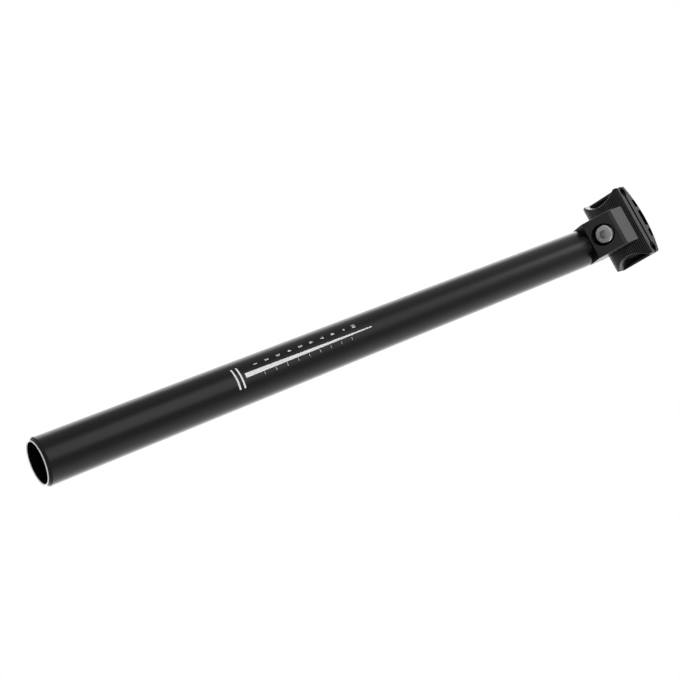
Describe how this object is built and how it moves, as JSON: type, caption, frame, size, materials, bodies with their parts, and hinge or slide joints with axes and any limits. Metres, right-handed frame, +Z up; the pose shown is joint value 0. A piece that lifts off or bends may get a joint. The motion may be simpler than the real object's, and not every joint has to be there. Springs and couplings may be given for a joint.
{
  "type": "bicycle seatpost",
  "caption": "Straight round bicycle seatpost with a setback head, a toothed tilting rail clamp and one clamp bolt from below.",
  "frame": {"origin": "centre of the tube's open lower end", "axes": "+Z up the tube, +X forward on the bicycle, +Y to the rider's left; the saddle rails lean 15 degrees from square to the tube, as a seat tube does"},
  "size_m": [0.0446, 0.0538, 0.4688],
  "materials": {
    "tube_satin_black": "satin black anodised, white printed scale",
    "head_black": "fine-blasted black anodised",
    "clamp_black": "blasted black anodised",
    "bolt_steel": "bright zinc-plated steel",
    "washer_dark": "black oxide steel",
    "nut_steel": "zinc-plated steel"
  },
  "bodies": {
    "post": {"tube": "tube_satin_black", "head": "head_black", "washer": "washer_dark"},
    "bolt": {"clamp_bolt": "bolt_steel"},
    "nut": {"barrel_nut": "nut_steel"},
    "lower_cradle": {"lower_clamp": "clamp_black"},
    "upper_cradle": {"upper_clamp": "clamp_black"}
  },
  "joints": [
    {"name": "lower_tilt", "type": "hinge", "parent": "post", "child": "lower_cradle", "pos_m": [-0.01257, 0, 0.45922], "axis": [0, 1, 0], "range_deg": [-15, 15]},
    {"name": "bolt_turn", "type": "hinge", "parent": "post", "child": "bolt", "pos_m": [-0.02028, 0, 0.43044], "axis": [0.2588, 0, 0.9659], "range_deg": [-1440, 0]},
    {"name": "nut_lift", "type": "slide", "parent": "post", "child": "nut", "axis": [0.2588, 0, 0.9659], "range_m": [0, 0.005]},
    {"name": "upper_tilt", "type": "hinge", "parent": "nut", "child": "upper_cradle", "pos_m": [-0.01257, 0, 0.45922], "axis": [0, 1, 0], "range_deg": [-15, 15]}
  ],
  "couplings": [
    {"joint": "upper_tilt", "follows": "lower_tilt", "ratio": 1},
    {"joint": "bolt_turn", "follows": "nut_lift", "rad_per_m": -5026.5}
  ]
}
